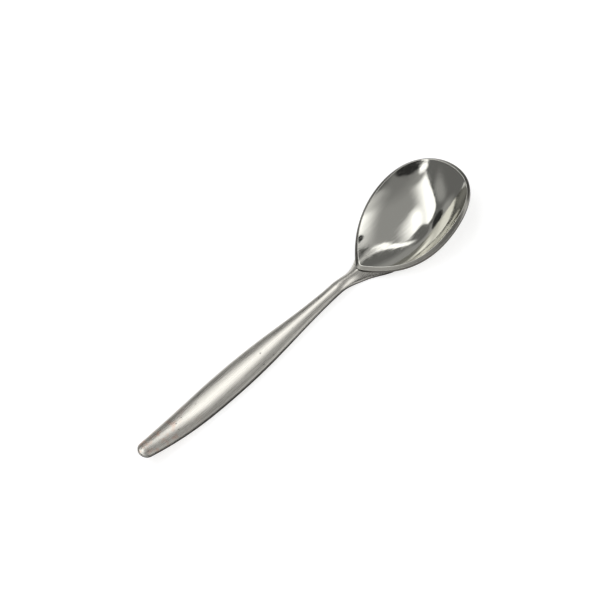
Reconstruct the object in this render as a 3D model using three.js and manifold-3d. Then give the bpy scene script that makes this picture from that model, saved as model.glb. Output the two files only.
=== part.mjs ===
// Teaspoon: a pressed bowl brazed to a forged stem, whose tang is cemented into a hollow handle of two shells.
// Millimetres. +X runs along the spoon to the bowl's tip, +Z is up, and z = 0 is the table that it lies on.
import * as THREE from 'three';
import { mergeVertices } from 'three/addons/utils/BufferGeometryUtils.js';
import Module from 'manifold-3d';

// Overall size
const OVERALL_LENGTH = 152;

// Bowl: an egg in plan, pointed at the rear, with its rim rising towards the tip
const BOWL_LENGTH = 51.6;
const BOWL_WIDTH = 36.2;
const BOWL_WIDEST_FROM_REAR = 29;
const BOWL_DEEPEST_FROM_REAR = 26.8;
const BOWL_REAR_HALF_ANGLE = 55.5;
const BOWL_REAR_REACH = 12.5;
const BOWL_BACK_REACH = 12.9;
const BOWL_FRONT_REACH = 11.9;
const BOWL_TIP_REACH = 11.2;
const RIM_HEIGHT_REAR = 4.15;
const RIM_HEIGHT_TIP = 11.4;
const RIM_WAVE = 2;
const RIM_WIDTH = 1.35;
const RIM_BEVEL = 0.65;
const RIM_LIP = 1.4;
const BOWL_BOTTOM_THICKNESS = 1;
const BOWL_REST_WIDTH = 11;
const OUTER_CLIMB_POWER = 1.3;
const INNER_CLIMB_POWER = 2.3;
const REAR_CORNER_FADE = 3;

// Handle: widest near its tip, waisted at the neck, with the tip turned up
const HANDLE_WIDTH = 11.9;
const HANDLE_WIDEST_FROM_TIP = 38;
const HANDLE_TIP_WIDTH = 6;
const HANDLE_TIP_ROUNDING = 2.4;
const HANDLE_TIP_RISE = 3.4;
const HANDLE_TIP_TURN_LENGTH = 28;
const HANDLE_CROWN = 2.2;
const HANDLE_BELLY = 2.38;
const HANDLE_REST_FLAT = 0.4;
const HANDLE_SECTION_FULLNESS = 2;
const HANDLE_SLIMMING = 0.55;
const SHELL_WALL = 0.6;
const SHELL_TIP_SOLID = 4;
const SHELL_CAVITY_RAMP = 3;
const CAVITY_LEAST_WIDTH_SHARE = 0.33;
const SEAM_GAP = 0.2;

// Stem: the neck, its saddle behind the bowl, and its tang in the handle
const NECK_WIDTH = 5.3;
const NECK_WAIST_FROM_BOWL = 9.6;
const NECK_RISE = 0.9;
const NECK_TAPER_SKEW = 1.12;
const STEM_EXPOSED_BEHIND_WAIST = 25;
const SADDLE_WIDTH = 18.8;
const SADDLE_REACH_UNDER_BOWL = 11.4;
const SADDLE_TOP = 3.5;
const SADDLE_EDGE_HEIGHT = 0.5;
const SADDLE_BOTTOM = 0.15;
const SADDLE_FLARE = 1.6;
const SADDLE_SECTION_FULLNESS = 1.6;
const TANG_WIDTH = 3.4;
const TANG_THICKNESS = 1;
const TANG_LENGTH = 28;
const TANG_CORNER_FULLNESS = 6;
const BRAZE_GAP = 0.3;
const SHOULDER_GAP = 0.3;

// Filler
const FILLER_GAP = 0.2;
const FILLER_START_PAST_RAMP = 1;

// Mesh fineness
const OUTLINE_STEPS = 14;
const DISH_STEPS = 11;
const ARC_STEPS = 12;
const HANDLE_STATIONS = 26;
const TIP_STATIONS = 6;
const STEM_STATIONS = 30;
const TANG_STATIONS = 5;
const FILLER_STATIONS = 14;

// Places along X that the pieces share
const TIP_X = -OVERALL_LENGTH / 2;
const BOWL_TIP_X = OVERALL_LENGTH / 2;
const BOWL_REAR_X = BOWL_TIP_X - BOWL_LENGTH;
const BOWL_WIDEST_X = BOWL_REAR_X + BOWL_WIDEST_FROM_REAR;
const BOWL_DEEPEST_X = BOWL_REAR_X + BOWL_DEEPEST_FROM_REAR;
const HANDLE_WIDEST_X = TIP_X + HANDLE_WIDEST_FROM_TIP;
const WAIST_X = BOWL_REAR_X - NECK_WAIST_FROM_BOWL;
const SHOULDER_X = WAIST_X - STEM_EXPOSED_BEHIND_WAIST;
const SADDLE_END_X = BOWL_REAR_X + SADDLE_REACH_UNDER_BOWL;
const CAVITY_START_X = TIP_X + SHELL_TIP_SOLID;
const TANG_END_X = SHOULDER_X - TANG_LENGTH;

const wasm = await Module();
wasm.setup();

function clamp01(value) {
  return Math.min(1, Math.max(0, value));
}

// Eases from 0 to 1 along half a cosine wave
function ease(share) {
  return (1 - Math.cos(Math.PI * clamp01(share))) / 2;
}

function mix(from, to, share) {
  return from + (to - from) * share;
}

// Evenly spaced values from one end to the other, both included
function spread(from, to, steps) {
  return Array.from({ length: steps + 1 }, (_, i) => mix(from, to, i / steps));
}

// Joins rings of points into one closed skin. A ring of one point is a pole, and an end ring of many is capped.
// Rings run along the travel direction, and each ring turns anticlockwise seen from ahead.
function skin(rings) {
  const positions = [];
  const faces = [];
  const starts = [];
  for (const ring of rings) {
    starts.push(positions.length / 3);
    ring.forEach((point) => positions.push(point.x, point.y, point.z));
  }
  const capEnd = (ring, start, facesForward) => {
    const flat = ring.map((point) => new THREE.Vector2(point.y, point.z));
    for (const [a, b, c] of THREE.ShapeUtils.triangulateShape(flat, [])) {
      faces.push(start + a, start + (facesForward ? b : c), start + (facesForward ? c : b));
    }
  };
  for (let i = 0; i + 1 < rings.length; i += 1) {
    const count = Math.max(rings[i].length, rings[i + 1].length);
    const near = (j) => starts[i] + (rings[i].length === 1 ? 0 : j % count);
    const far = (j) => starts[i + 1] + (rings[i + 1].length === 1 ? 0 : j % count);
    for (let j = 0; j < count; j += 1) {
      if (rings[i].length > 1) faces.push(near(j), near(j + 1), far(j + 1));
      if (rings[i + 1].length > 1) faces.push(near(j), far(j + 1), far(j));
    }
  }
  const last = rings.length - 1;
  if (rings[0].length > 1) capEnd(rings[0], starts[0], false);
  if (rings[last].length > 1) capEnd(rings[last], starts[last], true);
  const geometry = new THREE.BufferGeometry();
  geometry.setAttribute('position', new THREE.Float32BufferAttribute(positions, 3));
  geometry.setIndex(faces);
  return geometry;
}

function toSolid(geometry) {
  const welded = mergeVertices(geometry);
  const vertProperties = new Float32Array(welded.getAttribute('position').array);
  const triVerts = new Uint32Array(welded.getIndex().array);
  return new wasm.Manifold(new wasm.Mesh({ numProp: 3, vertProperties, triVerts }));
}

// Cuts the tool geometry out of the piece
function cut(piece, tool) {
  const mesh = toSolid(piece).subtract(toSolid(tool)).getMesh();
  const geometry = new THREE.BufferGeometry();
  geometry.setAttribute('position', new THREE.BufferAttribute(new Float32Array(mesh.vertProperties), 3));
  geometry.setIndex(new THREE.BufferAttribute(new Uint32Array(mesh.triVerts), 1));
  return geometry;
}

// The bowl's plan outline, anticlockwise from the tip, drawn in from the outer edge by the inset.
// Its rear is a sharp corner at sharpness 1 and round at sharpness 0.
function bowlOutline(inset, sharpness) {
  const angle = mix(Math.PI / 2, THREE.MathUtils.degToRad(BOWL_REAR_HALF_ANGLE), sharpness);
  const rear = new THREE.Vector2(BOWL_REAR_X + inset / Math.sin(angle), 0);
  const widest = new THREE.Vector2(BOWL_WIDEST_X, BOWL_WIDTH / 2 - inset);
  const tip = new THREE.Vector2(BOWL_TIP_X - inset, 0);
  const front = new THREE.CubicBezierCurve(
    tip,
    new THREE.Vector2(tip.x, BOWL_TIP_REACH),
    new THREE.Vector2(widest.x + BOWL_FRONT_REACH, widest.y),
    widest,
  );
  const back = new THREE.CubicBezierCurve(
    widest,
    new THREE.Vector2(widest.x - BOWL_BACK_REACH, widest.y),
    new THREE.Vector2(rear.x + BOWL_REAR_REACH * Math.cos(angle), BOWL_REAR_REACH * Math.sin(angle)),
    rear,
  );
  const left = [...front.getPoints(OUTLINE_STEPS), ...back.getPoints(OUTLINE_STEPS).slice(1)];
  const right = left.slice(1, -1).reverse().map((point) => new THREE.Vector2(point.x, -point.y));
  return [...left, ...right];
}

// Height of the rim's outer edge: a wave that dips past the shoulder, climbs along the sides and dips again to the tip
function rimHeight(x) {
  const share = clamp01((x - BOWL_REAR_X) / BOWL_LENGTH);
  return mix(RIM_HEIGHT_REAR, RIM_HEIGHT_TIP, mix(share, ease(share), RIM_WAVE));
}

// Rings of a dish from its deepest point, over its flat land and up to its edge, which lies at a lift from the rim.
// The wall climbs as a power of the way out from the land, and the rear corner fades out downwards.
function dishRings(inset, floor, lift, power, restWidth) {
  const land = restWidth / BOWL_WIDTH;
  const rings = spread(0, 1, DISH_STEPS).map((way) => {
    const share = mix(land, 1, way);
    return bowlOutline(inset, share ** REAR_CORNER_FADE).map((edge) => new THREE.Vector3(
      mix(BOWL_DEEPEST_X, edge.x, share),
      edge.y * share,
      mix(floor, rimHeight(edge.x) + lift, way ** power),
    ));
  });
  const middle = [new THREE.Vector3(BOWL_DEEPEST_X, 0, floor)];
  return [middle, ...(land > 0 ? rings : rings.slice(1))];
}

// The outer dish, an upright lip, a rim that is bevelled up inwards, and the inner dish
function makeBowl() {
  const outer = dishRings(0, 0, -RIM_LIP, OUTER_CLIMB_POWER, BOWL_REST_WIDTH);
  const inner = dishRings(RIM_WIDTH, BOWL_BOTTOM_THICKNESS, RIM_BEVEL, INNER_CLIMB_POWER, 0);
  const lip = outer[outer.length - 1].map((point) => new THREE.Vector3(point.x, point.y, point.z + RIM_LIP));
  return skin([...outer, lip, ...inner.reverse()]);
}

// All the space that the bowl takes up, with the braze gap round it
function makeBowlClearance() {
  const rings = dishRings(-BRAZE_GAP, -BRAZE_GAP, -RIM_LIP - BRAZE_GAP, OUTER_CLIMB_POWER, BOWL_REST_WIDTH);
  const rim = rings[rings.length - 1];
  const lid = rim.map((point) => new THREE.Vector3(point.x, point.y, point.z + RIM_HEIGHT_TIP));
  const crown = [new THREE.Vector3(BOWL_DEEPEST_X, 0, 2 * RIM_HEIGHT_TIP)];
  return skin([...rings, lid, crown]);
}

// Rounds the handle's end in plan and in thickness: 0 at the very tip, 1 past the rounding
function tipRounding(x) {
  const share = clamp01((x - TIP_X) / HANDLE_TIP_ROUNDING);
  return Math.sqrt(1 - (1 - share) ** 2);
}

// Half the width: a parabola from the tip to the widest place, half a cosine wave down to the waist,
// and another out to the saddle
function halfWidth(x) {
  if (x < HANDLE_WIDEST_X) {
    const back = (HANDLE_WIDEST_X - x) / HANDLE_WIDEST_FROM_TIP;
    return mix(HANDLE_WIDTH / 2, HANDLE_TIP_WIDTH / 2, back ** 2) * tipRounding(x);
  }
  if (x < WAIST_X) {
    const on = (x - HANDLE_WIDEST_X) / (WAIST_X - HANDLE_WIDEST_X);
    return mix(HANDLE_WIDTH / 2, NECK_WIDTH / 2, ease(on ** NECK_TAPER_SKEW));
  }
  const flare = (x - WAIST_X) / (SADDLE_END_X - WAIST_X);
  return mix(NECK_WIDTH / 2, SADDLE_WIDTH / 2, ease(flare ** SADDLE_FLARE));
}

// Share of the way from the waist to the shoulder of the bowl
function saddleShare(x) {
  return ease((x - WAIST_X) / NECK_WAIST_FROM_BOWL);
}

// Height of the edge line: turned up at the tip, level along the belly, a slight rise to the waist,
// then down to the saddle
function edgeHeight(x) {
  const turn = clamp01((TIP_X + HANDLE_TIP_TURN_LENGTH - x) / HANDLE_TIP_TURN_LENGTH);
  const rise = clamp01((x - HANDLE_WIDEST_X) / (WAIST_X - HANDLE_WIDEST_X));
  const line = HANDLE_BELLY - HANDLE_REST_FLAT + HANDLE_TIP_RISE * turn ** 2 + NECK_RISE * rise ** 2;
  return mix(line, SADDLE_EDGE_HEIGHT, saddleShare(x));
}

// Thickness above or below the edge line: thinner where the spoon is narrower, easing to the saddle's
function depthFrom(fullDepth, saddleDepth, x) {
  const slim = (Math.min(halfWidth(x), HANDLE_WIDTH / 2) / (HANDLE_WIDTH / 2)) ** HANDLE_SLIMMING;
  const neckDepth = fullDepth * (NECK_WIDTH / HANDLE_WIDTH) ** HANDLE_SLIMMING;
  if (x < WAIST_X) return fullDepth * slim;
  return mix(neckDepth, saddleDepth, saddleShare(x));
}

function crown(x) {
  return depthFrom(HANDLE_CROWN, SADDLE_TOP - SADDLE_EDGE_HEIGHT, x);
}

function belly(x) {
  return depthFrom(HANDLE_BELLY, SADDLE_EDGE_HEIGHT - SADDLE_BOTTOM, x);
}

// Points of half an oval at one place along the spoon, anticlockwise. The lower half lies flat on the table.
function halfOval(x, seamHeight, width, depth, fullness, isUpper) {
  const first = isUpper ? 0 : Math.PI;
  return spread(first, first + Math.PI, ARC_STEPS).map((angle) => {
    const across = Math.sign(Math.cos(angle)) * Math.abs(Math.cos(angle)) ** (2 / fullness);
    const along = Math.sign(Math.sin(angle)) * Math.abs(Math.sin(angle)) ** (2 / fullness);
    return new THREE.Vector3(x, width * across, Math.max(0, seamHeight + depth * along));
  });
}

// A whole oval whose upper and lower halves have their own depths
function oval(x, height, width, upperDepth, lowerDepth, fullness) {
  const upper = halfOval(x, height, width, upperDepth, fullness, true);
  const lower = halfOval(x, height, width, lowerDepth, fullness, false);
  return [...upper.slice(0, -1), ...lower.slice(0, -1)];
}

// Space inside the shells at one place: its half width, and its depth on one side of the seam
function cavity(x, outerDepth) {
  const open = clamp01((x - CAVITY_START_X) / SHELL_CAVITY_RAMP);
  return {
    width: Math.max(halfWidth(x) - SHELL_WALL, halfWidth(x) * CAVITY_LEAST_WIDTH_SHARE),
    depth: Math.max(outerDepth - SHELL_WALL, 0) * open,
  };
}

// One half shell of the handle: half ovals outside, half ovals of the cavity inside, closed at the tip
function makeShell(isUpper) {
  const end = SHOULDER_X - SHOULDER_GAP;
  const tipStations = spread(0, Math.PI / 2, TIP_STATIONS)
    .map((turn) => TIP_X + HANDLE_TIP_ROUNDING * (1 - Math.cos(turn)))
    .slice(1);
  const bodyStations = spread(TIP_X + HANDLE_TIP_ROUNDING, end, HANDLE_STATIONS).slice(1);
  const seamOffset = (isUpper ? SEAM_GAP : -SEAM_GAP) / 2;
  const rings = [...tipStations, ...bodyStations].map((x) => {
    const seam = edgeHeight(x) + seamOffset;
    const depth = (isUpper ? crown(x) : belly(x)) - SEAM_GAP / 2;
    const hollow = cavity(x, depth);
    const outside = halfOval(x, seam, halfWidth(x), depth, HANDLE_SECTION_FULLNESS, isUpper);
    const inside = halfOval(x, seam, hollow.width, hollow.depth, HANDLE_SECTION_FULLNESS, isUpper);
    return [...outside, ...inside.reverse()];
  });
  return skin([[new THREE.Vector3(TIP_X, 0, edgeHeight(TIP_X) + seamOffset)], ...rings]);
}

function tangRing(x, gap) {
  const depth = TANG_THICKNESS / 2 + gap;
  return oval(x, edgeHeight(x), TANG_WIDTH / 2 + gap, depth, depth, TANG_CORNER_FULLNESS);
}

function makeStem() {
  const tang = spread(TANG_END_X, SHOULDER_X, TANG_STATIONS).map((x) => tangRing(x, 0));
  const neck = spread(SHOULDER_X, SADDLE_END_X, STEM_STATIONS).map((x) => {
    const fullness = mix(HANDLE_SECTION_FULLNESS, SADDLE_SECTION_FULLNESS, saddleShare(x));
    return oval(x, edgeHeight(x), halfWidth(x), crown(x), belly(x), fullness);
  });
  return cut(skin([...tang, ...neck]), makeBowlClearance());
}

// The core fills both shells from behind the tip to the stem's shoulder, with a pocket for the tang
function makeFiller() {
  const start = CAVITY_START_X + SHELL_CAVITY_RAMP + FILLER_START_PAST_RAMP;
  const end = SHOULDER_X - SHOULDER_GAP;
  const core = spread(start, end, FILLER_STATIONS).map((x) => {
    const above = cavity(x, crown(x) - SEAM_GAP / 2);
    const below = cavity(x, belly(x) - SEAM_GAP / 2);
    const width = above.width - FILLER_GAP;
    const upper = above.depth - FILLER_GAP;
    const lower = below.depth - FILLER_GAP;
    return oval(x, edgeHeight(x), width, upper, lower, HANDLE_SECTION_FULLNESS);
  });
  const pocket = spread(TANG_END_X - FILLER_GAP, SHOULDER_X + SHOULDER_GAP, TANG_STATIONS)
    .map((x) => tangRing(x, FILLER_GAP));
  return cut(skin(core), skin(pocket));
}

const mirrorSteel = new THREE.MeshStandardMaterial({ color: 0xc8c7c3, roughness: 0.06, metalness: 1 });
const satinSteel = new THREE.MeshStandardMaterial({ color: 0xb8b6b0, roughness: 0.34, metalness: 1 });
const cement = new THREE.MeshStandardMaterial({ color: 0x8f8675, roughness: 0.9, metalness: 0 });

const teaspoon = new THREE.Group();
const pieces = [
  ['bowl', makeBowl(), mirrorSteel],
  ['stem', makeStem(), satinSteel],
  ['handle_upper_shell', makeShell(true), satinSteel],
  ['handle_lower_shell', makeShell(false), satinSteel],
  ['handle_filler', makeFiller(), cement],
];
for (const [name, geometry, material] of pieces) {
  const mesh = new THREE.Mesh(geometry, material);
  mesh.name = name;
  teaspoon.add(mesh);
}

export default teaspoon;
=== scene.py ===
"""A teaspoon with a mirror-polished bowl, a flared neck and a satin handle, lying on a white table."""
import math

import bmesh
import bpy
import numpy as np
from mathutils import Matrix, Vector


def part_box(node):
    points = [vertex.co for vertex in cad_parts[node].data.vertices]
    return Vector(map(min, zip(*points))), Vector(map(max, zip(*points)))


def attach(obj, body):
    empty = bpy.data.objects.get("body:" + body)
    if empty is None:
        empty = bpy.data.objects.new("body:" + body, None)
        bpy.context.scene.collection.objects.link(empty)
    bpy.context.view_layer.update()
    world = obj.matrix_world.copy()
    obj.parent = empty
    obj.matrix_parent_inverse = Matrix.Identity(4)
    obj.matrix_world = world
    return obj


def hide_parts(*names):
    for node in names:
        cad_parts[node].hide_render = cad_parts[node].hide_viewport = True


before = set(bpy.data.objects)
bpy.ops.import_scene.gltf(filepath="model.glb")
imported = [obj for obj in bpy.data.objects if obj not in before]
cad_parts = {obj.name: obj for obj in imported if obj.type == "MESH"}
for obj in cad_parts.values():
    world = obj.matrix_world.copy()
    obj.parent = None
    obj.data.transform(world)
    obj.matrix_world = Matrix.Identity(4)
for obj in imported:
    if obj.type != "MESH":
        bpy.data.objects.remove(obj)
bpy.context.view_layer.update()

MM = 0.001

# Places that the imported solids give
bowl_low, bowl_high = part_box("bowl")
shell_low, shell_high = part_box("handle_upper_shell")
stem_low, stem_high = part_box("stem")
TIP_X = shell_low.x
SHELL_END_X = shell_high.x
TANG_END_X = stem_low.x
SADDLE_END_X = stem_high.x
SADDLE_WIDTH = stem_high.y - stem_low.y
HANDLE_WIDTH = shell_high.y - shell_low.y
BOWL_REAR_X = bowl_low.x
BOWL_TIP_X = bowl_high.x
BOWL_LENGTH = BOWL_TIP_X - BOWL_REAR_X
BOWL_WIDTH = bowl_high.y - bowl_low.y

# Bowl: its outline from above
BOWL_WIDEST_X = BOWL_REAR_X + 29 * MM
BOWL_DEEPEST_X = BOWL_REAR_X + 26.8 * MM
BOWL_REAR_HALF_ANGLE = math.radians(55.5)
BOWL_REAR_REACH = 12.5 * MM
BOWL_BACK_REACH = 12.9 * MM
BOWL_FRONT_REACH = 11.9 * MM
BOWL_TIP_REACH = 11.2 * MM
CORNER_SOFTNESS = math.radians(2)
DEEP_SOFTNESS = math.radians(25)
CORNER_FADE = 3

# Bowl: its rim and its two dishes
RIM_HEIGHT_REAR = 4.15 * MM
RIM_HEIGHT_TIP = 11.4 * MM
RIM_WAVE = 2
RIM_WIDTH = 1.35 * MM
RIM_BEVEL = 0.65 * MM
RIM_LIP = 1.4 * MM
RIM_ROUNDING = 0.12 * MM
LARGEST_ROUNDING_SHARE = 0.45
BOTTOM_THICKNESS = 1 * MM
REST_WIDTH = 11 * MM
REST_SHARE = REST_WIDTH / BOWL_WIDTH
OUTER_POWER = 1.3
INNER_POWER = 2.3

# Handle
HANDLE_WIDEST_X = TIP_X + 38 * MM
HANDLE_TIP_WIDTH = 6 * MM
TIP_ROUNDING = 2.4 * MM
TIP_RISE = 3.4 * MM
TIP_TURN_LENGTH = 28 * MM
CROWN = 2.2 * MM
BELLY = 2.38 * MM
REST_FLAT = 0.4 * MM
SECTION_FULLNESS = 2
SLIMMING = 0.55
SHELL_WALL = 0.6 * MM
SHELL_TIP_SOLID = 4 * MM
CAVITY_RAMP = 3 * MM
CAVITY_LEAST_WIDTH_SHARE = 0.33
SEAM_LINE = 0.04 * MM

# Neck, saddle and tang
SHOULDER_GAP = 0.3 * MM
SHOULDER_X = SHELL_END_X + SHOULDER_GAP
NECK_WIDTH = 5.3 * MM
NECK_WAIST_FROM_BOWL = 9.6 * MM
NECK_RISE = 0.9 * MM
NECK_TAPER_SKEW = 1.12
WAIST_X = BOWL_REAR_X - NECK_WAIST_FROM_BOWL
SADDLE_TOP = 3.5 * MM
SADDLE_EDGE_HEIGHT = 0.5 * MM
SADDLE_BOTTOM = 0.15 * MM
SADDLE_FLARE = 1.6
SADDLE_ROUNDING = 2.2 * MM
SADDLE_SECTION_FULLNESS = 1.6
TANG_WIDTH = 3.4 * MM
TANG_THICKNESS = 1 * MM
TANG_CORNER_FULLNESS = 6
BRAZE_DEPTH = 0.25 * MM

# Fineness of the surfaces
OUTLINE_POINTS = 300
BOWL_COLUMNS = 360
BOWL_ANGLES = np.arange(BOWL_COLUMNS) * 2 * np.pi / BOWL_COLUMNS
OUTER_DISH_ROWS = 40
INNER_DISH_ROWS = 72
LOWER_CORNER_ROWS = 4
UNDERSIDE_PASSES = 8
TIP_ROWS = 24
SHELL_ROWS = 170
SHELL_COLUMNS = 64
TANG_ROWS = 24
NECK_ROWS = 300
STEM_COLUMNS = 144
WELD_DISTANCE = 0.0005 * MM
SHARP_EDGE_ANGLE = math.radians(50)

# How dark the edges are painted in shade, and on the rim also how dull they are left: row by row round the
# rim's corners, and as a share of the section at the seam
OUTER_CORNER_DULLNESS_AND_SHADE = (1, 0.5, 0, 0, 0.3, 0.75)
INNER_CORNER_DULLNESS_AND_SHADE = (0.75, 0.3, 0, 0, 0, 0)
SEAM_SHADE_REACH = 0.32

# Sizes of the finishes' patterns. Real buffing lines and grain are finer, and are drawn this coarse to show
BUFFING_LINE_LENGTH = 9 * MM
BUFFING_LINE_WIDTH = 0.5 * MM
BUFFING_LINE_HEIGHT = 0.02 * MM
BUFFING_LINE_STRENGTH = 0.25
BUFFING_WAVE_LENGTH = 16 * MM
BUFFING_WAVE_WIDTH = 3 * MM
BUFFING_WAVE_HEIGHT = 0.04 * MM
GRAIN_LENGTH = 7 * MM
GRAIN_WIDTH = 0.25 * MM
GRAIN_HEIGHT = 0.03 * MM
GRAIN_STRENGTH = 0.22
PIT_SPACING = 3 * MM
BLOTCH_SIZE = 2.5 * MM
MOTTLE_SIZE = 1.5 * MM
MOTTLE_HEIGHT = 0.1 * MM
MOTTLE_STRENGTH = 0.3

# Ranges of the finishes: a value from and to, and what the finish makes of these two
RANGE_SOCKETS = ("From Min", "From Max", "To Min", "To Max")
LINES_TO_ROUGHNESS = (0.35, 0.75, 0.04, 0.16)
GRAIN_TO_ROUGHNESS = (0.3, 0.7, 0.22, 0.32)
PIT_DISTANCE_TO_STAIN = (0.06, 0.11, 0.8, 0)
# Where a warm tint in blotches fades out along the handle from its tip
PLACE_TO_WARM_TINT = (TIP_X + 8 * MM, TIP_X + 26 * MM, 0.5, 0)
BLOTCHES_TO_SHARE = (0.48, 0.66, 0, 1)
DULL_EDGE_ROUGHNESS = 0.35
RESIN_ROUGHNESS = 0.85

# Colours
POLISHED_STEEL = "#C5C4BD"
# Painted shade on the bowl's rim edges
RIM_PAINTED_SHADE = "#55534E"
GRAIN_SHADE = "#ABA9A2"
GRAIN_SHINE = "#D6D3CC"
# A warm pinkish tint near the handle's tip
WARM_TINT = "#C08F78"
# Dark pits, and a painted shade along the handle's seam
DARK_PITS_AND_SEAM_SHADE = "#1E1D1B"
RESIN_SHADE = "#857C6B"
RESIN_PALE = "#9A907E"
TABLE_PALE = "#D0D0D0"
WHITE = "#FFFFFF"

# Table
TABLE_RADIUS = 6
TABLE_SIDES = 64
TABLE_GLOW = 0.62

# Strengths of the room's light
CEILING_LIGHT = 0.44
SHADY_LIGHT = 0.3
PANEL_LIGHT = 2.1
DIM_PANEL_LIGHT = 1.1
LAMP_LIGHT = 2.7
GAP_LIGHT = 0.1
DARK_LIGHT = 0.04
WALL_LIGHT = 0.2
FAR_WALL_LIGHT = 0.42
PATCH_LIGHT = 0.45
BACKDROP_LIGHT = 1

# Ovals on the map of the sky, in degrees from straight up: +X to the bowl's tip, +Y to the far side.
# Each has its middle, its half lengths, its turn in degrees, and where its edge starts and ends to fade
SHADY_SIDE = ((-15, -62), (55, 36), 0, 0.3, 1.2)
DIM_PANELS = ((18, -62), (30, 26), 0, 0.6, 1.2)
RING_HOLE = ((7, -8), (90, 28), 60, 0.5, 1.4)
LAMP = ((7.5, 25.5), (27, 10), 52, 0, 1.4)
RING_BREAK = ((-34, -56), (40, 26), -50, 0.8, 1.15)
NEAR_DARK = ((20, -89), (45, 29), 0, 0.8, 1.1)
RING_OUTLINE = ((1.5, -46), (49.5, 99), 0)
RING_REACH = (*RING_OUTLINE, 0.985, 1.0)
GAP_REACH = (*RING_OUTLINE, 1.0, 1.05)
FAR_WALL = ((25, 75), (45, 26), 0, 0.6, 1.1)
HANDLE_PATCH = ((-42, 28), (30, 9), 65, 0.3, 1.2)
FAR_PATCH = ((-22, 68), (16, 10), 40, 0.3, 1.2)
RING_NOTCH = ((15, 52), (11, 14), 0, 0.75, 1.1)
RING_STRAND = ((30, 37), (19, 2.6), -62, 0.6, 1.2)
DARK_BAR = ((-31, -54), (20, 5), -48, 0.8, 1.2)
SMALL_PANEL = ((-46, -31), (8, 4), -52, 0.8, 1.2)
FAR_DARK = ((-6, 65), (15, 8), 30, 0.92, 1.02)
TIP_DARK = ((42.5, -3), (3, 6), 0, 0.7, 1.2)
SKY_REACH = ((0, 0), (90, 90), 0, 0.955, 0.98)

# Camera: the photograph's frame in pixels, its angle and distance, and a sensor in Blender's millimetres
PHOTO_SIDE = 600
PIXELS_PER_METRE = 2830.4
MIDDLE_RIGHT_OF_CENTRE = 5.3
MIDDLE_BELOW_CENTRE = 13.3
SPOON_MIDDLE = Vector((0, 0, 4 * MM))
CAMERA_ELEVATION = math.radians(56)
CAMERA_TURN = math.radians(20)
CAMERA_ROLL = math.radians(24.01)
CAMERA_DISTANCE = 480 * MM
CAMERA_CLIP = 10 * MM
SENSOR_WIDTH = 36


def ease(share):
    """Half a cosine wave from 0 to 1."""
    return (1 - np.cos(np.pi * np.clip(share, 0, 1))) / 2


def mix(start, end, share):
    """A straight line from the start to the end."""
    return start + (end - start) * share


def signed_power(value, power):
    """A power of a value's size, with the value's own sign."""
    return np.sign(value) * np.abs(value) ** power


def add_piece(name, rings, edge, material, slot, *nodes):
    """Skins rows of rings with quads, welds points that meet at poles and ends, and turns faces outwards.

    The edge is 1 where a point gets a painted shade, on the rim's corners, which are also left dull, and
    along the handle's seam, and 0 on the finished faces."""
    rows, columns, _ = rings.shape
    index = np.arange(rows * columns).reshape(rows, columns)
    ahead = np.roll(index, -1, axis=1)
    quads = np.stack([index[:-1], ahead[:-1], ahead[1:], index[1:]], axis=-1).reshape(-1, 4)
    mesh = bpy.data.meshes.new(name)
    mesh.from_pydata(rings.reshape(-1, 3).tolist(), [], quads.tolist())
    edge_values = mesh.attributes.new("edge", "FLOAT", "POINT").data
    edge_values.foreach_set("value", edge.astype(np.float32).ravel())
    shape = bmesh.new()
    shape.from_mesh(mesh)
    bmesh.ops.remove_doubles(shape, verts=shape.verts, dist=WELD_DISTANCE)
    bmesh.ops.recalc_face_normals(shape, faces=shape.faces)
    shape.to_mesh(mesh)
    shape.free()
    mesh.shade_smooth()
    mesh.set_sharp_from_angle(angle=SHARP_EDGE_ANGLE)
    mesh.materials.append(material)
    piece = bpy.data.objects.new(name, mesh)
    bpy.context.scene.collection.objects.link(piece)
    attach(piece, "root")
    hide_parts(*nodes)


# Bowl


def bezier(start, start_pull, end_pull, end, share):
    """A cubic curve between two points, drawn by two pulls."""
    share = share[:, None]
    rest = 1 - share
    return (rest**3 * np.array(start) + 3 * rest**2 * share * np.array(start_pull)
            + 3 * rest * share**2 * np.array(end_pull) + share**3 * np.array(end))


def bowl_radius(inset, softness):
    """The plan outline as a radius about the deepest point for each angle.

    Two cubic curves run from the tip to the widest place and on to the pointed rear, and mirror to the
    other side. A Gaussian blur over the angle rounds the rear corner. The sharp outline stays within the
    curves."""
    share = np.linspace(0, 1, OUTLINE_POINTS)
    rear = (BOWL_REAR_X + inset / math.sin(BOWL_REAR_HALF_ANGLE), 0)
    widest = (BOWL_WIDEST_X, BOWL_WIDTH / 2 - inset)
    tip = (BOWL_TIP_X - inset, 0)
    rear_pull = (rear[0] + BOWL_REAR_REACH * math.cos(BOWL_REAR_HALF_ANGLE),
                 BOWL_REAR_REACH * math.sin(BOWL_REAR_HALF_ANGLE))
    front = bezier(tip, (tip[0], BOWL_TIP_REACH), (widest[0] + BOWL_FRONT_REACH, widest[1]), widest, share)
    back = bezier(widest, (widest[0] - BOWL_BACK_REACH, widest[1]), rear_pull, rear, share)
    half = np.vstack([front, back[1:]]) - [BOWL_DEEPEST_X, 0]
    turn = np.arctan2(half[:, 1], half[:, 0])
    folded = np.abs((BOWL_ANGLES + np.pi) % (2 * np.pi) - np.pi)
    radius = np.interp(folded, turn, np.hypot(half[:, 0], half[:, 1]))
    waves = np.fft.rfftfreq(BOWL_COLUMNS, 1 / BOWL_COLUMNS)
    blurred = np.fft.irfft(np.fft.rfft(radius) * np.exp(-(waves * softness) ** 2 / 2), BOWL_COLUMNS)
    return blurred if softness > CORNER_SOFTNESS else np.minimum(blurred, radius)


def rim_height(x):
    """The rim's height: a wave that dips past the shoulder, climbs along the sides and dips at the tip.

    It is a straight climb pushed past half a cosine wave."""
    share = np.clip((x - BOWL_REAR_X) / BOWL_LENGTH, 0, 1)
    return mix(RIM_HEIGHT_REAR, RIM_HEIGHT_TIP, mix(share, ease(share), RIM_WAVE))


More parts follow.
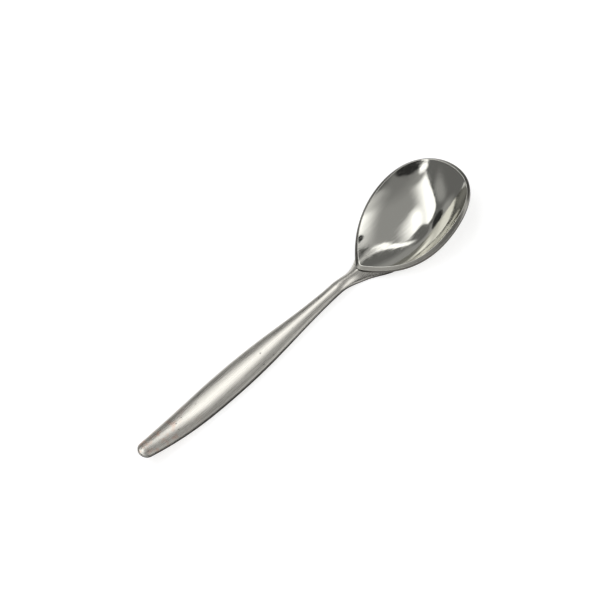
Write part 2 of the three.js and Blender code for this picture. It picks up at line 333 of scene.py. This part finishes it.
def dish(inset, floor, edge_lift, power, land, climb):
    """Rings of a dish from its floor up to its edge, climbing as a power of the way out.

    Each ring is the outline drawn in by a share. Deep rings follow a softer outline, so the rear corner
    fades out."""
    sharp = bowl_radius(inset, CORNER_SOFTNESS)
    soft = bowl_radius(inset, DEEP_SOFTNESS)
    share = mix(land, 1, climb)[:, None]
    radius = mix(soft, sharp, share**CORNER_FADE) * share
    edge = rim_height(BOWL_DEEPEST_X + sharp * np.cos(BOWL_ANGLES)) + edge_lift
    x = BOWL_DEEPEST_X + radius * np.cos(BOWL_ANGLES)
    y = np.clip(radius * np.sin(BOWL_ANGLES), bowl_low.y, bowl_high.y)
    z = mix(floor, edge[None, :], climb[:, None] ** power)
    return np.stack([x, y, z], axis=-1)


def rounded(before, corner, after, steps):
    """Rows that round a corner between two rows: a parabola from a rounding before it to one after it."""
    def reach(row):
        """The point a rounding away from the corner, and always less than half way to the row."""
        away = row - corner
        distance = np.linalg.norm(away, axis=-1, keepdims=True)
        return corner + away * np.minimum(LARGEST_ROUNDING_SHARE, RIM_ROUNDING / distance)
    share = np.linspace(0, 1, steps)[:, None, None]
    return (1 - share) ** 2 * reach(before) + 2 * share * (1 - share) * corner + share**2 * reach(after)


def bowl_surface():
    """The bowl's closed skin: the outer dish up from its flat land, an upright lip, a bevelled rim, and the
    inner dish down."""
    outer = dish(0, 0, -RIM_LIP, OUTER_POWER, REST_SHARE, np.linspace(0, 1, OUTER_DISH_ROWS))
    inner = dish(RIM_WIDTH, BOTTOM_THICKNESS, RIM_BEVEL, INNER_POWER, 0, np.linspace(0, 1, INNER_DISH_ROWS))
    middle = np.broadcast_to([BOWL_DEEPEST_X, 0, 0], outer[:1].shape)
    lip = outer[-1] + [0, 0, RIM_LIP]
    lower_corner = rounded(outer[-2], outer[-1], lip, LOWER_CORNER_ROWS)
    upper_corner = rounded(outer[-1], lip, inner[-1], len(OUTER_CORNER_DULLNESS_AND_SHADE))
    inner_corner = rounded(lip, inner[-1], inner[-2], len(INNER_CORNER_DULLNESS_AND_SHADE))
    rows = [middle, outer[:-1], lower_corner, upper_corner, inner_corner, inner[-2::-1]]
    # Painted shade on the rim's lip and corners, which are also left dull
    rim_dullness_and_shade = [0, 0, 1, OUTER_CORNER_DULLNESS_AND_SHADE, INNER_CORNER_DULLNESS_AND_SHADE, 0]
    edge = np.concatenate([np.broadcast_to(np.reshape(tone, (-1, 1)), part.shape[:2])
                           for part, tone in zip(rows, rim_dullness_and_shade)])
    return np.concatenate(rows), edge


def bowl_underside(x, y):
    """Height of the bowl's outer skin over a point of the table, and infinity outside the outline.

    The dish's formula is turned round: the outline's softness depends on the share of the way out, and the
    share on the outline, so the share is found in a few passes."""
    sharp = bowl_radius(0, CORNER_SOFTNESS)
    soft = bowl_radius(0, DEEP_SOFTNESS)
    turn = np.arctan2(y, x - BOWL_DEEPEST_X)
    sharp_here = np.interp(turn, BOWL_ANGLES, sharp, period=2 * np.pi)
    soft_here = np.interp(turn, BOWL_ANGLES, soft, period=2 * np.pi)
    reach = np.hypot(x - BOWL_DEEPEST_X, y)
    share = reach / sharp_here
    for _ in range(UNDERSIDE_PASSES):
        share = reach / mix(soft_here, sharp_here, np.clip(share, 0, 1) ** CORNER_FADE)
    edge = rim_height(BOWL_DEEPEST_X + sharp_here * np.cos(turn)) - RIM_LIP
    height = edge * np.clip((share - REST_SHARE) / (1 - REST_SHARE), 0, 1) ** OUTER_POWER
    return np.where(reach < sharp_here, height, np.inf)


# Handle and stem share one run of ovals from the handle's tip to the saddle under the bowl


def saddle_share(x):
    """0 up to the waist, easing to 1 at the bowl's shoulder."""
    return ease((x - WAIST_X) / NECK_WAIST_FROM_BOWL)


def half_width(x):
    """A parabola from the tip to the widest place, half a cosine wave to the waist, another to the saddle.

    Both ends are rounded off as quarter ellipses."""
    back = (HANDLE_WIDEST_X - x) / (HANDLE_WIDEST_X - TIP_X)
    round_end = np.sqrt(1 - (1 - np.clip((x - TIP_X) / TIP_ROUNDING, 0, 1)) ** 2)
    blade = mix(HANDLE_WIDTH, HANDLE_TIP_WIDTH, back**2) / 2 * round_end
    taper_share = np.clip((x - HANDLE_WIDEST_X) / (WAIST_X - HANDLE_WIDEST_X), 0, 1)
    taper = mix(HANDLE_WIDTH, NECK_WIDTH, ease(taper_share**NECK_TAPER_SKEW)) / 2
    flare_share = np.clip((x - WAIST_X) / (SADDLE_END_X - WAIST_X), 0, 1)
    saddle_end = np.sqrt(1 - np.clip(1 - (SADDLE_END_X - x) / SADDLE_ROUNDING, 0, 1) ** 2)
    flare = mix(NECK_WIDTH, SADDLE_WIDTH, ease(flare_share**SADDLE_FLARE)) / 2 * saddle_end
    return np.where(x < HANDLE_WIDEST_X, blade, np.where(x < WAIST_X, taper, flare))


def edge_height(x):
    """The seam's height: a parabola up at the tip, level along the belly, a slight one up to the neck,
    and an easing down to the saddle."""
    turn = np.clip((TIP_X + TIP_TURN_LENGTH - x) / TIP_TURN_LENGTH, 0, 1)
    rise = np.clip((x - HANDLE_WIDEST_X) / (WAIST_X - HANDLE_WIDEST_X), 0, 1)
    line = BELLY - REST_FLAT + TIP_RISE * turn**2 + NECK_RISE * rise**2
    return mix(line, SADDLE_EDGE_HEIGHT, saddle_share(x))


def depth_from(full_depth, saddle_depth, x):
    """Thickness on one side of the seam: a power of the width's share, easing to the saddle's thickness."""
    slim = (np.where(x < WAIST_X, half_width(x), NECK_WIDTH / 2) / (HANDLE_WIDTH / 2)) ** SLIMMING
    return mix(full_depth * slim, saddle_depth, saddle_share(x))


def crown(x):
    """Thickness above the seam."""
    return depth_from(CROWN, SADDLE_TOP - SADDLE_EDGE_HEIGHT, x)


def belly(x):
    """Thickness below the seam."""
    return depth_from(BELLY, SADDLE_EDGE_HEIGHT - SADDLE_BOTTOM, x)


def oval(x, height, width, depth, fullness, turn):
    """Points of superellipses, one row for each place along the spoon. The lowest lie flat on the table."""
    across = width[:, None] * signed_power(np.cos(turn), 2 / fullness)
    upright = depth * signed_power(np.sin(turn), 2 / fullness)
    z = np.maximum(0, height[:, None] + upright)
    return np.stack([np.broadcast_to(x[:, None], z.shape), np.broadcast_to(across, z.shape), z], axis=-1)


def seam_painted_shade(x, turn):
    """Painted shade along the seam: 1 along the seam and up to half its reach, and from there a straight
    fade to 0 at its reach.

    It follows the seam round the blunt tip."""
    tip_share = np.minimum(1, half_width(x) / half_width(TIP_X + TIP_ROUNDING))[:, None]
    return np.clip(2 - 2 * tip_share * np.abs(np.sin(turn)) / SEAM_SHADE_REACH, 0, 1)


def shell_surface(side):
    """One half shell: half ovals outside, smaller half ovals inside, one point at the tip, and walls closed
    at the end. The side is 1 for the upper shell and -1 for the lower."""
    tip_x = TIP_X + TIP_ROUNDING * (1 - np.cos(np.linspace(0, np.pi / 2, TIP_ROWS)))
    x = np.concatenate([tip_x, np.linspace(TIP_X + TIP_ROUNDING, SHOULDER_X, SHELL_ROWS)[1:]])
    turn = side * np.linspace(0, np.pi, SHELL_COLUMNS)
    seam = edge_height(x) + side * SEAM_LINE / 2
    outer_depth = (crown(x) if side > 0 else belly(x)) - SEAM_LINE / 2
    open_share = np.clip((x - TIP_X - SHELL_TIP_SOLID) / CAVITY_RAMP, 0, 1)
    inner_depth = np.maximum(outer_depth - SHELL_WALL, 0) * open_share
    inner_width = np.maximum(half_width(x) - SHELL_WALL, half_width(x) * CAVITY_LEAST_WIDTH_SHARE)
    outer = oval(x, seam, half_width(x), outer_depth[:, None], SECTION_FULLNESS, turn)
    inner = oval(x, seam, inner_width, inner_depth[:, None], SECTION_FULLNESS, turn)
    wall_middle = (outer[-1:] + inner[-1:]) / 2
    outer = np.concatenate([outer, wall_middle])
    inner = np.concatenate([inner, wall_middle])
    rings = np.concatenate([outer, inner[:, ::-1]], axis=1)
    # Painted shade along the seam, also round the tip
    seam_shade = seam_painted_shade(np.append(x, x[-1]), turn)
    return rings, np.concatenate([seam_shade, seam_shade], axis=1)


def stem_surface():
    """The tang, the neck and the saddle as one run of ovals. Above the bowl's skin the ovals are cut down
    to it, so the saddle hugs the bowl and reaches into its braze."""
    turn = np.linspace(0, 2 * np.pi, STEM_COLUMNS, endpoint=False)
    tang_x = np.linspace(TANG_END_X, SHOULDER_X, TANG_ROWS)
    tang_half_width = np.full_like(tang_x, TANG_WIDTH / 2)
    tang = oval(tang_x, edge_height(tang_x), tang_half_width, TANG_THICKNESS / 2,
                TANG_CORNER_FULLNESS, turn)
    x = mix(SHOULDER_X, SADDLE_END_X, np.sin(np.linspace(0, np.pi / 2, NECK_ROWS)))
    depth = np.where(np.sin(turn) > 0, crown(x)[:, None], belly(x)[:, None])
    fullness = mix(SECTION_FULLNESS, SADDLE_SECTION_FULLNESS, saddle_share(x))[:, None]
    neck = oval(x, edge_height(x), half_width(x), depth, fullness, turn)
    neck[..., 2] = np.minimum(neck[..., 2], bowl_underside(neck[..., 0], neck[..., 1]) + BRAZE_DEPTH)
    start = np.broadcast_to(tang[0].mean(axis=0), tang[:1].shape)
    end = np.broadcast_to(neck[-1].mean(axis=0), neck[:1].shape)
    rings = np.concatenate([start, tang, neck, end])
    return rings, seam_painted_shade(rings[:, 0, 0], turn)


# Materials


def linear(hex_colour):
    """An sRGB hex colour as linear red, green, blue and alpha."""
    channels = np.array([int(hex_colour[i:i + 2], 16) for i in (1, 3, 5)]) / 255
    values = np.where(channels <= 0.04045, channels / 12.92, ((channels + 0.055) / 1.055) ** 2.4)
    return (*values.tolist(), 1.0)


def add(tree, kind, inputs=(), **settings):
    """Adds a node with its own settings. Inputs are (socket, value) pairs, where an output is linked."""
    node = tree.nodes.new(kind)
    for name, value in settings.items():
        setattr(node, name, value)
    for socket, value in inputs:
        if isinstance(value, bpy.types.NodeSocket):
            tree.links.new(value, node.inputs[socket])
        else:
            node.inputs[socket].default_value = value
    return node


def new_material(name):
    """An empty material and its tree of nodes."""
    material = bpy.data.materials.new(name)
    material.use_nodes = True
    material.node_tree.nodes.clear()
    return material, material.node_tree


def streaks(tree, place, length, width, detail):
    """Noise drawn out along the spoon, in streaks about so long and so wide."""
    space = add(tree, "ShaderNodeMapping", [
        ("Vector", place), ("Scale", (1 / length, 1 / width, 1 / width))])
    noise = add(tree, "ShaderNodeTexNoise", [
        ("Vector", space.outputs[0]), ("Scale", 1), ("Detail", detail)])
    return noise.outputs["Fac"]


def mirror_steel():
    """Stainless steel buffed to a mirror: sharp, slightly wavy reflections with faint buffing lines along
    the bowl. The trimmed edge of the rim is left dull, and a painted shade makes it darker."""
    material, tree = new_material("mirror_polished_stainless_steel")
    place = add(tree, "ShaderNodeTexCoord").outputs["Object"]
    edge = add(tree, "ShaderNodeAttribute", attribute_name="edge").outputs["Fac"]
    lines = streaks(tree, place, BUFFING_LINE_LENGTH, BUFFING_LINE_WIDTH, detail=3)
    waves = streaks(tree, place, BUFFING_WAVE_LENGTH, BUFFING_WAVE_WIDTH, detail=2)
    polish = add(tree, "ShaderNodeMapRange", [("Value", lines), *zip(RANGE_SOCKETS, LINES_TO_ROUGHNESS)])
    roughness = add(tree, "ShaderNodeMix", [
        ("Factor", edge), ("A", polish.outputs[0]), ("B", DULL_EDGE_ROUGHNESS)])
    # The rim's edge darkened by a painted shade
    tone = add(tree, "ShaderNodeMix", [
        ("Factor", edge), ("A", linear(POLISHED_STEEL)), ("B", linear(RIM_PAINTED_SHADE))], data_type="RGBA")
    wavy = add(tree, "ShaderNodeBump", [
        ("Height", waves), ("Strength", 1), ("Distance", BUFFING_WAVE_HEIGHT)])
    bump = add(tree, "ShaderNodeBump", [
        ("Height", lines), ("Strength", BUFFING_LINE_STRENGTH), ("Distance", BUFFING_LINE_HEIGHT),
        ("Normal", wavy.outputs[0])])
    shader = add(tree, "ShaderNodeBsdfPrincipled", [
        ("Base Color", tone.outputs["Result"]), ("Metallic", 1.0), ("Roughness", roughness.outputs[0]),
        ("Normal", bump.outputs[0])])
    add(tree, "ShaderNodeOutputMaterial", [("Surface", shader.outputs[0])])
    return material


def satin_steel():
    """Stainless steel rubbed along its length: soft reflections with a fine grain, small dark pits,
    a painted shade along the seam, and a warm tint in blotches at the handle's tip."""
    material, tree = new_material("satin_brushed_stainless_steel")
    place = add(tree, "ShaderNodeTexCoord").outputs["Object"]
    edge = add(tree, "ShaderNodeAttribute", attribute_name="edge").outputs["Fac"]
    grain = streaks(tree, place, GRAIN_LENGTH, GRAIN_WIDTH, detail=4)
    pit_cells = add(tree, "ShaderNodeTexVoronoi", [("Vector", place), ("Scale", 1 / PIT_SPACING)])
    pits = add(tree, "ShaderNodeMapRange", [
        ("Value", pit_cells.outputs["Distance"]), *zip(RANGE_SOCKETS, PIT_DISTANCE_TO_STAIN)])
    along = add(tree, "ShaderNodeSeparateXYZ", [(0, place)]).outputs["X"]
    near_tip = add(tree, "ShaderNodeMapRange", [("Value", along), *zip(RANGE_SOCKETS, PLACE_TO_WARM_TINT)])
    blotches = add(tree, "ShaderNodeTexNoise", [
        ("Vector", place), ("Scale", 1 / BLOTCH_SIZE), ("Detail", 3)])
    blotch_share = add(tree, "ShaderNodeMapRange", [
        ("Value", blotches.outputs["Fac"]), *zip(RANGE_SOCKETS, BLOTCHES_TO_SHARE)])
    # A warm tint in blotches near the tip
    warm_tint_share = add(tree, "ShaderNodeMath", [
        (0, near_tip.outputs[0]), (1, blotch_share.outputs[0])], operation="MULTIPLY")
    # Dark pits, and the painted shade along the seam
    pits_and_seam_shade = add(tree, "ShaderNodeMath", [(0, edge), (1, pits.outputs[0])], operation="MAXIMUM")
    roughness = add(tree, "ShaderNodeMapRange", [("Value", grain), *zip(RANGE_SOCKETS, GRAIN_TO_ROUGHNESS)])
    bump = add(tree, "ShaderNodeBump", [
        ("Height", grain), ("Strength", GRAIN_STRENGTH), ("Distance", GRAIN_HEIGHT)])
    steel = add(tree, "ShaderNodeMix", [
        ("Factor", grain), ("A", linear(GRAIN_SHADE)), ("B", linear(GRAIN_SHINE))], data_type="RGBA")
    warm = add(tree, "ShaderNodeMix", [
        ("Factor", warm_tint_share.outputs[0]), ("A", steel.outputs["Result"]), ("B", linear(WARM_TINT))],
        data_type="RGBA")
    tone = add(tree, "ShaderNodeMix", [
        ("Factor", pits_and_seam_shade.outputs[0]), ("A", warm.outputs["Result"]), ("B", linear(DARK_PITS_AND_SEAM_SHADE))],
        data_type="RGBA")
    shader = add(tree, "ShaderNodeBsdfPrincipled", [
        ("Base Color", tone.outputs["Result"]), ("Metallic", 1.0), ("Roughness", roughness.outputs[0]),
        ("Normal", bump.outputs[0])])
    add(tree, "ShaderNodeOutputMaterial", [("Surface", shader.outputs[0])])
    return material


def resin_cement():
    """Cast resin cement: dull, brown-grey and slightly mottled by its filler."""
    material, tree = new_material("cast_resin_cement")
    place = add(tree, "ShaderNodeTexCoord").outputs["Object"]
    mottle = add(tree, "ShaderNodeTexNoise", [("Vector", place), ("Scale", 1 / MOTTLE_SIZE), ("Detail", 4)])
    tone = add(tree, "ShaderNodeMix", [
        ("Factor", mottle.outputs["Fac"]), ("A", linear(RESIN_SHADE)), ("B", linear(RESIN_PALE))],
        data_type="RGBA")
    bump = add(tree, "ShaderNodeBump", [
        ("Height", mottle.outputs["Fac"]), ("Strength", MOTTLE_STRENGTH), ("Distance", MOTTLE_HEIGHT)])
    shader = add(tree, "ShaderNodeBsdfPrincipled", [
        ("Base Color", tone.outputs["Result"]), ("Roughness", RESIN_ROUGHNESS),
        ("Normal", bump.outputs[0])])
    add(tree, "ShaderNodeOutputMaterial", [("Surface", shader.outputs[0])])
    return material


def white_table():
    """A matt white table. Its glow for sight and reflections makes it white, and its own colour keeps the
    shadow."""
    material, tree = new_material("matt_white_table")
    path = add(tree, "ShaderNodeLightPath").outputs
    seen = add(tree, "ShaderNodeMath", [
        (0, path["Is Camera Ray"]), (1, path["Is Glossy Ray"])], operation="ADD")
    seen = add(tree, "ShaderNodeMath", [
        (0, seen.outputs[0]), (1, path["Is Transmission Ray"])], operation="ADD", use_clamp=True)
    glow = add(tree, "ShaderNodeMath", [(0, seen.outputs[0]), (1, TABLE_GLOW)], operation="MULTIPLY")
    matt = add(tree, "ShaderNodeBsdfDiffuse", [("Color", linear(TABLE_PALE))])
    shine = add(tree, "ShaderNodeEmission", [("Strength", glow.outputs[0])])
    both = add(tree, "ShaderNodeAddShader", [(0, matt.outputs[0]), (1, shine.outputs[0])])
    add(tree, "ShaderNodeOutputMaterial", [("Surface", both.outputs[0])])
    return material


# Table, light and camera


def add_table():
    """A flat disc under the spoon."""
    turn = np.linspace(0, 2 * np.pi, TABLE_SIDES, endpoint=False)
    ring = TABLE_RADIUS * np.stack([np.cos(turn), np.sin(turn), np.zeros_like(turn)], axis=-1)
    mesh = bpy.data.meshes.new("table")
    mesh.from_pydata(ring.tolist(), [], [list(range(len(ring)))])
    mesh.materials.append(white_table())
    table = bpy.data.objects.new("table", mesh)
    bpy.context.scene.collection.objects.link(table)


def add_room():
    """The room's light: a dim ceiling over the spoon inside a wide ring of soft white panels, a grey wall
    round it, and a white backdrop down at the table.

    The sky is mapped flat: how many degrees from straight up a direction is, laid off along its heading."""
    world = bpy.data.worlds.new("room")
    bpy.context.scene.world = world
    world.use_nodes = True
    tree = world.node_tree
    tree.nodes.clear()
    heading = add(tree, "ShaderNodeTexCoord").outputs["Generated"]
    upward = add(tree, "ShaderNodeSeparateXYZ", [(0, heading)]).outputs["Z"]
    from_zenith = add(tree, "ShaderNodeMath", [(0, upward)], operation="ARCCOSINE").outputs[0]
    degrees = add(tree, "ShaderNodeMath", [(0, from_zenith)], operation="DEGREES").outputs[0]
    level = add(tree, "ShaderNodeVectorMath", [(0, heading), (1, (1, 1, 0))], operation="MULTIPLY")
    level = add(tree, "ShaderNodeVectorMath", [(0, level.outputs[0])], operation="NORMALIZE")
    sky = add(tree, "ShaderNodeVectorMath", [(0, level.outputs[0]), ("Scale", degrees)], operation="SCALE")

    def lit(inside, outside, middle, half_lengths, turn, fade_start, fade_end):
        """One light inside an oval and another outside, with a smooth step across the oval's edge."""
        local = add(tree, "ShaderNodeMapping", [
            ("Vector", sky.outputs[0]), ("Location", (*middle, 0)),
            ("Rotation", (0, 0, math.radians(turn))), ("Scale", (*half_lengths, 1))], vector_type="TEXTURE")
        reach = add(tree, "ShaderNodeVectorMath", [(0, local.outputs[0])], operation="LENGTH")
        fade = add(tree, "ShaderNodeMapRange", [
            ("Value", reach.outputs["Value"]), ("From Min", fade_start), ("From Max", fade_end)],
            interpolation_type="SMOOTHSTEP")
        blend = add(tree, "ShaderNodeMix", [("Factor", fade.outputs[0]), ("A", inside), ("B", outside)])
        return blend.outputs[0]

    # The ceiling in its ring of panels, and the lamp that draws the bright line along the handle
    ceiling = lit(SHADY_LIGHT, CEILING_LIGHT, *SHADY_SIDE)
    panel = lit(DIM_PANEL_LIGHT, PANEL_LIGHT, *DIM_PANELS)
    light = lit(ceiling, panel, *RING_HOLE)
    light = lit(LAMP_LIGHT, light, *LAMP)
    light = lit(ceiling, light, *RING_BREAK)
    light = lit(DARK_LIGHT, light, *NEAR_DARK)

    # A thin dark gap round the ring, and the wall beyond it
    wall = lit(FAR_WALL_LIGHT, WALL_LIGHT, *FAR_WALL)
    wall = lit(PATCH_LIGHT, wall, *HANDLE_PATCH)
    wall = lit(PATCH_LIGHT, wall, *FAR_PATCH)
    light = lit(light, GAP_LIGHT, *RING_REACH)
    light = lit(light, wall, *GAP_REACH)

    # Small shapes that the bowl shows
    light = lit(WALL_LIGHT, light, *RING_NOTCH)
    light = lit(PANEL_LIGHT, light, *RING_STRAND)
    light = lit(DARK_LIGHT, light, *DARK_BAR)
    light = lit(PANEL_LIGHT, light, *SMALL_PANEL)
    light = lit(DARK_LIGHT, light, *FAR_DARK)
    light = lit(DARK_LIGHT, light, *TIP_DARK)

    light = lit(light, BACKDROP_LIGHT, *SKY_REACH)
    background = add(tree, "ShaderNodeBackground", [("Color", linear(WHITE)), ("Strength", light)])
    add(tree, "ShaderNodeOutputWorld", [("Surface", background.outputs[0])])


def add_camera():
    """Looks down at the spoon from its near side, a little from the handle's end, and is rolled so that the
    handle runs to the lower left."""
    back = Vector((-math.cos(CAMERA_ELEVATION) * math.sin(CAMERA_TURN),
                   -math.cos(CAMERA_ELEVATION) * math.cos(CAMERA_TURN), math.sin(CAMERA_ELEVATION)))
    level = Vector((0, 0, 1)).cross(back).normalized()
    rise = back.cross(level)
    right = math.cos(CAMERA_ROLL) * level - math.sin(CAMERA_ROLL) * rise
    up = math.sin(CAMERA_ROLL) * level + math.cos(CAMERA_ROLL) * rise
    to_left = right * (MIDDLE_RIGHT_OF_CENTRE / PIXELS_PER_METRE)
    to_top = up * (MIDDLE_BELOW_CENTRE / PIXELS_PER_METRE)
    aim = SPOON_MIDDLE - to_left + to_top
    camera = bpy.data.objects.new("camera", bpy.data.cameras.new("camera"))
    camera.data.sensor_width = SENSOR_WIDTH
    camera.data.lens = SENSOR_WIDTH * PIXELS_PER_METRE * CAMERA_DISTANCE / PHOTO_SIDE
    camera.data.clip_start = CAMERA_CLIP
    turn = Matrix((right, up, back)).transposed()
    camera.matrix_world = Matrix.Translation(aim + back * CAMERA_DISTANCE) @ turn.to_4x4()
    bpy.context.scene.collection.objects.link(camera)
    bpy.context.scene.camera = camera


mirror = mirror_steel()
satin = satin_steel()
add_piece("bowl_dish", *bowl_surface(), mirror, "mirror_steel", "bowl")
add_piece("neck_and_saddle", *stem_surface(), satin, "satin_steel", "stem")
add_piece("upper_shell", *shell_surface(1), satin, "satin_steel", "handle_upper_shell")
add_piece("lower_shell", *shell_surface(-1), satin, "satin_steel", "handle_lower_shell")
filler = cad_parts["handle_filler"]
filler.data.materials.clear()
filler.data.materials.append(resin_cement())

add_table()
add_room()
add_camera()
bpy.context.scene.view_settings.view_transform = "Standard"
